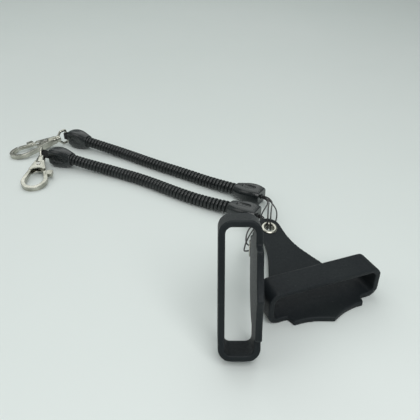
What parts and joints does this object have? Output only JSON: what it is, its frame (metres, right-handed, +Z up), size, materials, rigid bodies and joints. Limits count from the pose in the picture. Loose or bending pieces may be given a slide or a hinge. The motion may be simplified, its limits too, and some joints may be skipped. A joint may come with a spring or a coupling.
{
  "type": "coiled rod tether pair",
  "caption": "Coiled black safety tethers for fishing tools: swivel snap hook at one end, silicone band sleeve on a bat-shaped plate with an eyelet at the other.",
  "frame": {"origin": "middle of the underside of the lying (rear) sleeve's plate, under its band, on the surface everything rests on", "axes": "+Z up; +Y from the sleeves back towards the snap hooks' side, the way one looks at the pair from the front; +X to the right; the lying sleeve's band is turned 21 degrees about +Z"},
  "size_m": [0.2395, 0.2334, 0.0612],
  "materials": {
    "silicone": "matte black silicone with a soft sheen",
    "coil_plastic": "semi-gloss black polyurethane",
    "cap_plastic": "satin black moulded plastic",
    "loop_cord": "fine braided black cord",
    "strap": "woven black tape",
    "ferrule": "matte black",
    "nickel": "polished nickel plating",
    "eyelet_nickel": "bright rolled nickel",
    "steel_pin": "brushed steel",
    "spring_steel": "drawn wire"
  },
  "bodies": {
    "tethers": {"front_coil": "coil_plastic", "rear_coil": "coil_plastic", "front_sleeve_cap": "cap_plastic", "rear_sleeve_cap": "cap_plastic", "front_hook_cap": "cap_plastic", "rear_hook_cap": "cap_plastic", "front_loop_crimp": "ferrule", "rear_loop_crimp": "ferrule", "front_strap": "strap", "rear_strap": "strap", "front_loop_upper": "loop_cord", "front_loop_lower": "loop_cord", "rear_loop_left": "loop_cord", "rear_loop_right": "loop_cord"},
    "front_sleeve": {"front_sleeve": "silicone", "front_eyelet": "eyelet_nickel", "front_eyelet_washer": "eyelet_nickel"},
    "rear_sleeve": {"rear_sleeve": "silicone", "rear_eyelet": "eyelet_nickel", "rear_eyelet_washer": "eyelet_nickel"},
    "front_bail": {"front_bail": "nickel", "front_swivel_post": "steel_pin"},
    "front_hook": {"front_hook_body": "nickel", "front_gate_pin": "steel_pin", "front_gate_spring": "spring_steel"},
    "front_gate": {"front_gate": "nickel"},
    "rear_bail": {"rear_bail": "nickel", "rear_swivel_post": "steel_pin"},
    "rear_hook": {"rear_hook_body": "nickel", "rear_gate_pin": "steel_pin", "rear_gate_spring": "spring_steel"},
    "rear_gate": {"rear_gate": "nickel"}
  },
  "joints": [
    {"name": "front_sleeve_lift", "type": "hinge", "parent": "tethers", "child": "front_sleeve", "pos_m": [-0.0301, 0.02525, 0.01351], "axis": [-1, 0, 0], "range_deg": [0, 90]},
    {"name": "rear_sleeve_swing", "type": "hinge", "parent": "tethers", "child": "rear_sleeve", "pos_m": [-0.01914, 0.04985, 0.0088], "axis": [0, 0, 1], "range_deg": [0, 60]},
    {"name": "front_bail_swing", "type": "hinge", "parent": "tethers", "child": "front_bail", "pos_m": [-0.17934, 0.15517, 0.007], "axis": [0.0132, -0.1159, 0.9932], "range_deg": [-50, 0]},
    {"name": "front_hook_swivel", "type": "hinge", "parent": "front_bail", "child": "front_hook", "pos_m": [-0.17827, 0.1458, 0.00589], "axis": [0.1124, -0.9868, -0.1167], "continuous": true},
    {"name": "front_gate_hinge", "type": "hinge", "parent": "front_hook", "child": "front_gate", "pos_m": [-0.17737, 0.1379, 0.00496], "axis": [-0.0132, 0.1159, -0.9932], "range_deg": [0, 22], "stiffness_Nm_per_rad": 0.02, "springref_deg": -20.05},
    {"name": "rear_bail_swing", "type": "hinge", "parent": "tethers", "child": "rear_bail", "pos_m": [-0.17024, 0.18986, 0.007], "axis": [-0.0932, -0.0702, 0.9932], "range_deg": [-150, 0]},
    {"name": "rear_hook_swivel", "type": "hinge", "parent": "rear_bail", "child": "rear_hook", "pos_m": [-0.17778, 0.18419, 0.00589], "axis": [-0.7932, -0.5977, -0.1167], "continuous": true},
    {"name": "rear_gate_hinge", "type": "hinge", "parent": "rear_hook", "child": "rear_gate", "pos_m": [-0.18412, 0.1794, 0.00496], "axis": [-0.0932, -0.0702, 0.9932], "range_deg": [0, 22], "stiffness_Nm_per_rad": 0.02, "springref_deg": -20.05}
  ]
}
